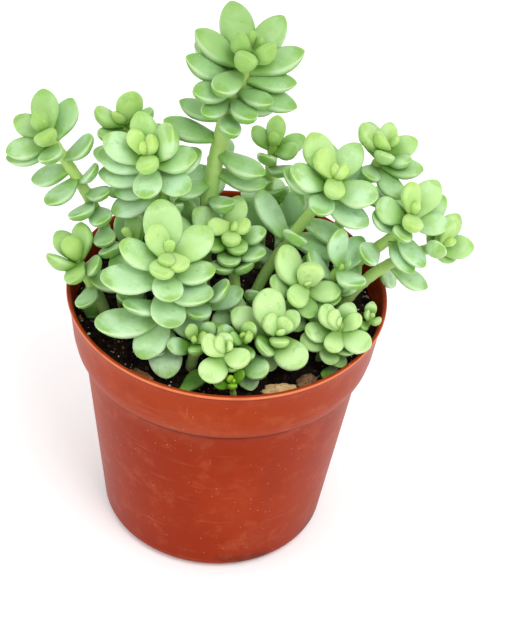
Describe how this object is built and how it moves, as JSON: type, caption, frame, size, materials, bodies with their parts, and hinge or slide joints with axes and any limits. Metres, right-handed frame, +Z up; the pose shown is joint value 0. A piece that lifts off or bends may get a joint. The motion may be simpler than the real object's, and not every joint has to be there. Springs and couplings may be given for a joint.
{
  "type": "potted succulent",
  "caption": "Burrito sedum: plump blunt leaves in open rosettes on branching stems, crowding out of a round lipped plastic nursery pot filled with dark peat.",
  "frame": {"origin": "middle of the pot's flat foot, where it stands", "axes": "+Z up, -Y towards the viewer of the picture, +X to the viewer's right"},
  "size_m": [0.1303, 0.09, 0.16],
  "materials": {
    "terracotta_plastic": "terracotta-coloured moulded plastic, satin, lightly scuffed and dusty",
    "peat": "dark crumbly peat with a few white specks, matt",
    "leaf": "pale green waxy leaf with a powdery bloom, satin, yellow-green when young",
    "fallen_leaf": "darker green waxy leaf, satin",
    "stone_tan": "tan grit stone with dark specks, matt",
    "stone_brown": "brown grit stone, matt",
    "bark": "dark brown bark chip, matt"
  },
  "bodies": {
    "root": {"pot": "terracotta_plastic", "soil": "peat", "shoot_crown": "leaf", "shoot_left_high": "leaf", "shoot_big_left": "leaf", "shoot_behind_left": "leaf", "shoot_front_left": "leaf", "shoot_left_low": "leaf", "shoot_centre": "leaf", "shoot_right_big": "leaf", "shoot_right_back": "leaf", "shoot_right": "leaf", "shoot_far_right": "leaf", "shoot_back": "leaf", "shoot_mid_right": "leaf", "shoot_front_mid": "leaf", "shoot_right_front": "leaf", "shoot_front_low": "leaf", "shoot_rim_tiny": "leaf", "shoot_bright": "leaf", "shoot_under_left": "leaf", "shoot_under_back": "leaf", "shoot_under_far": "leaf", "shoot_under_mid": "leaf", "shoot_under_right": "leaf", "shoot_low_mid": "leaf", "shoot_low_left": "leaf", "fallen_leaf_left": "fallen_leaf", "fallen_leaf_front": "fallen_leaf", "fallen_leaf_right": "fallen_leaf", "stone_tan": "stone_tan", "stone_brown": "stone_brown", "bark": "bark", "shoot_back_left": "leaf", "shoot_back_right": "leaf"}
  },
  "joints": []
}
